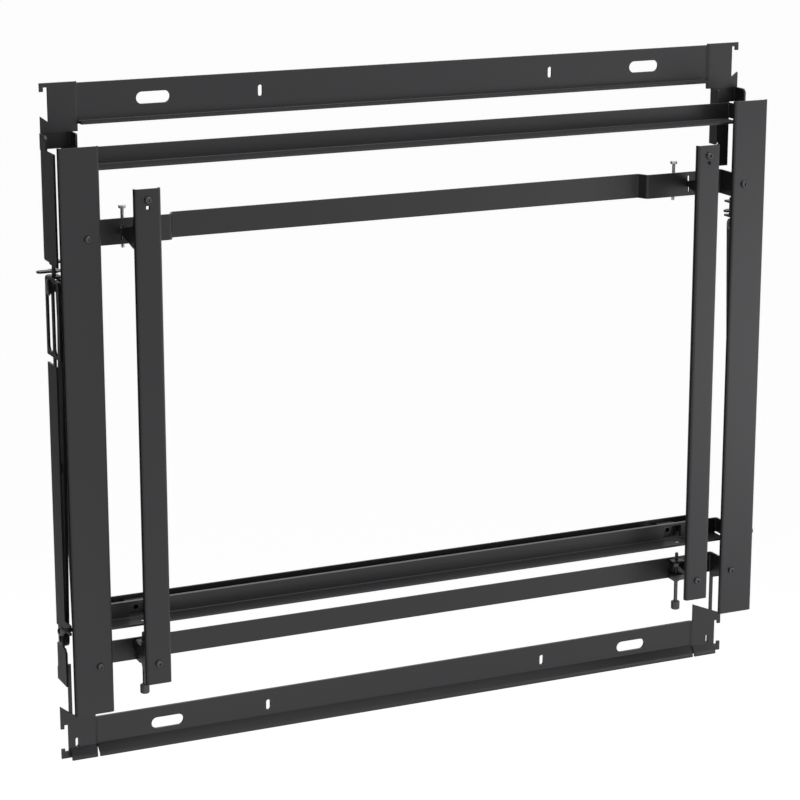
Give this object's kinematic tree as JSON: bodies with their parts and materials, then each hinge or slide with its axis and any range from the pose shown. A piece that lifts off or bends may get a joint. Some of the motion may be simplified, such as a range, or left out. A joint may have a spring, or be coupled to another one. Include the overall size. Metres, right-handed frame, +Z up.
{
  "type": "video wall mount",
  "caption": "Pop-out wall mount for one flat display: two wall rails, slotted posts, side scissors, a front frame and two height-adjustable display rails.",
  "frame": {"origin": "middle of the four big wall slots, in the wall plane", "axes": "+X to the right seen from the front, +Y into the wall, +Z up; the front faces -Y"},
  "size_m": [0.778, 0.0817, 0.6681],
  "materials": {
    "frame_coat": "satin charcoal powder coat",
    "black_steel": "black zinc",
    "zinc_steel": "bright zinc",
    "nylon": "matte"
  },
  "bodies": {
    "wall_frame": {"top_wall_rail": "frame_coat", "bottom_wall_rail": "frame_coat", "left_upper_post": "frame_coat", "left_lower_post": "frame_coat", "left_rear_pivot_pin": "black_steel", "right_upper_post": "frame_coat", "right_lower_post": "frame_coat", "right_rear_pivot_pin": "black_steel"},
    "front_frame": {"upper_cross_rail": "frame_coat", "lower_cross_rail": "frame_coat", "lower_trough": "frame_coat", "cross_rail_nut_blocks": "black_steel", "upper_display_bar": "frame_coat", "lower_display_bar": "frame_coat", "front_plate_screws": "black_steel", "screw_bushes": "black_steel", "left_front_plate": "frame_coat", "left_carriage_bracket": "frame_coat", "left_front_pivot_pin": "black_steel", "left_docking_pin": "black_steel", "right_front_plate": "frame_coat", "right_carriage_bracket": "frame_coat", "right_front_pivot_pin": "black_steel", "right_docking_pin": "black_steel"},
    "left_rear_link": {"left_rear_arm": "frame_coat", "left_centre_pin": "black_steel", "left_front_roller": "nylon"},
    "left_front_link": {"left_front_arm": "frame_coat", "left_rear_roller": "nylon"},
    "left_display_carrier": {"left_display_rail": "frame_coat", "left_hook_bracket": "frame_coat", "left_lower_bracket": "frame_coat", "left_bracket_nut": "black_steel", "left_rail_screws": "black_steel", "left_safety_screw": "zinc_steel"},
    "left_height_knob": {"left_height_screw": "black_steel"},
    "left_spacer": {"left_spacing_lever": "frame_coat"},
    "right_rear_link": {"right_rear_arm": "frame_coat", "right_centre_pin": "black_steel", "right_front_roller": "nylon"},
    "right_front_link": {"right_front_arm": "frame_coat", "right_rear_roller": "nylon"},
    "right_display_carrier": {"right_display_rail": "frame_coat", "right_hook_bracket": "frame_coat", "right_lower_bracket": "frame_coat", "right_bracket_nut": "black_steel", "right_rail_screws": "black_steel", "right_safety_screw": "zinc_steel"},
    "right_height_knob": {"right_height_screw": "black_steel"},
    "right_spacer": {"right_spacing_lever": "frame_coat"}
  },
  "joints": [
    {"name": "left_rear_hinge", "type": "hinge", "parent": "wall_frame", "child": "left_rear_link", "pos_m": [-0.3725, -0.016, -0.2056], "axis": [1, 0, 0], "range_deg": [0, 30]},
    {"name": "left_centre_hinge", "type": "hinge", "parent": "left_rear_link", "child": "left_front_link", "pos_m": [-0.37, -0.025, -0.0313], "axis": [1, 0, 0], "range_deg": [-60, 0]},
    {"name": "frame_hinge", "type": "hinge", "parent": "left_front_link", "child": "front_frame", "pos_m": [-0.3679, -0.034, -0.2056], "axis": [1, 0, 0], "range_deg": [0, 30]},
    {"name": "right_rear_hinge", "type": "hinge", "parent": "wall_frame", "child": "right_rear_link", "pos_m": [0.3725, -0.016, -0.2056], "axis": [1, 0, 0], "range_deg": [0, 30]},
    {"name": "right_centre_hinge", "type": "hinge", "parent": "right_rear_link", "child": "right_front_link", "pos_m": [0.37, -0.025, -0.0313], "axis": [1, 0, 0], "range_deg": [-60, 0]},
    {"name": "left_height_slide", "type": "slide", "parent": "front_frame", "child": "left_display_carrier", "axis": [0, 0, 1], "range_m": [-0.005, 0.005]},
    {"name": "left_height_turn", "type": "hinge", "parent": "front_frame", "child": "left_height_knob", "pos_m": [-0.3002, -0.036, -0.2315], "axis": [0, 0, 1], "range_deg": [-1800, 1800]},
    {"name": "left_spacing_turn", "type": "hinge", "parent": "wall_frame", "child": "left_spacer", "pos_m": [-0.3706, -0.01, 0.16], "axis": [0, 0, 1], "range_deg": [0, 90]},
    {"name": "right_height_slide", "type": "slide", "parent": "front_frame", "child": "right_display_carrier", "axis": [0, 0, 1], "range_m": [-0.005, 0.005]},
    {"name": "right_height_turn", "type": "hinge", "parent": "front_frame", "child": "right_height_knob", "pos_m": [0.3002, -0.036, -0.2315], "axis": [0, 0, 1], "range_deg": [-1800, 1800]},
    {"name": "right_spacing_turn", "type": "hinge", "parent": "wall_frame", "child": "right_spacer", "pos_m": [0.3706, -0.01, 0.16], "axis": [0, 0, 1], "range_deg": [-90, 0]}
  ],
  "couplings": [
    {"joint": "left_centre_hinge", "follows": "left_rear_hinge", "ratio": -2},
    {"joint": "frame_hinge", "follows": "left_rear_hinge", "ratio": 1},
    {"joint": "right_rear_hinge", "follows": "left_rear_hinge", "ratio": 1},
    {"joint": "right_centre_hinge", "follows": "left_rear_hinge", "ratio": -2},
    {"joint": "left_height_turn", "follows": "left_height_slide", "rad_per_m": -6283.2},
    {"joint": "right_height_turn", "follows": "right_height_slide", "rad_per_m": -6283.2}
  ]
}
